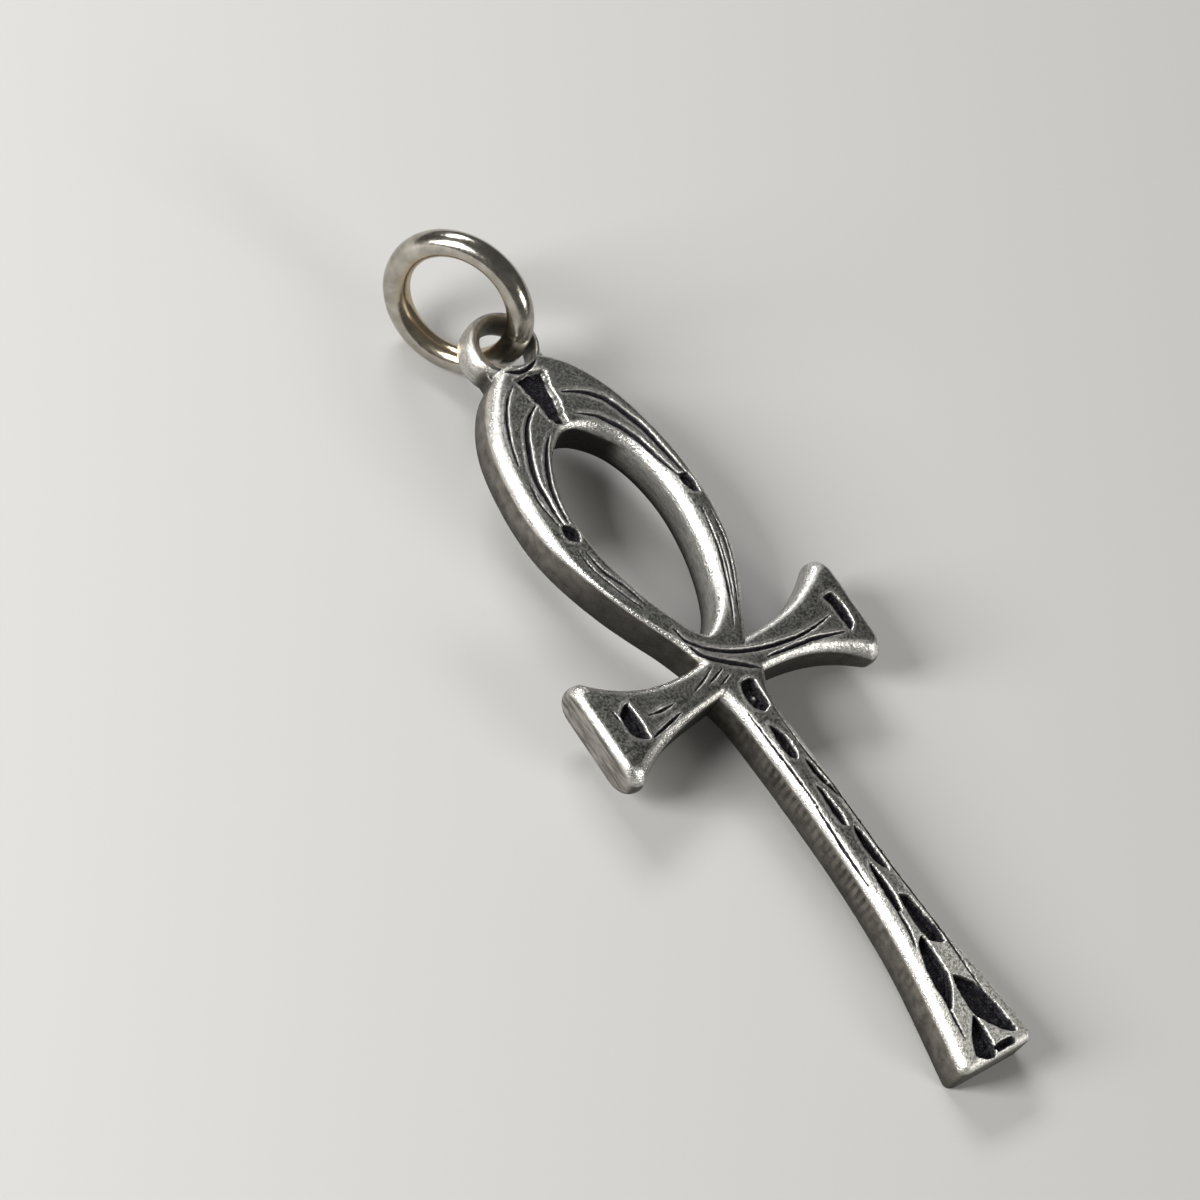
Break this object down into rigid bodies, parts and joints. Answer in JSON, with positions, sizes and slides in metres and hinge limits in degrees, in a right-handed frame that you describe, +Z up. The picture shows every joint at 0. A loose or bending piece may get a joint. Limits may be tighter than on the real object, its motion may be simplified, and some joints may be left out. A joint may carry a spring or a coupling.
{
  "type": "ankh pendant",
  "caption": "Cast ankh with a carved front face and an eye at its top that holds a round wire jump ring for a chain or cord.",
  "frame": {"origin": "middle of the base of the lying pendant's bounding box, on the surface it rests on", "axes": "+Y along the ankh from its foot towards the jump ring, +X across its arms to the right as its carved face is seen, +Z up"},
  "size_m": [0.0162, 0.0494, 0.008],
  "materials": {
    "ankh": "oxidised cast silver with polished edges",
    "jump_ring": "polished silver wire"
  },
  "bodies": {
    "root": {"ankh": "ankh", "jump_ring": "jump_ring"}
  },
  "joints": []
}
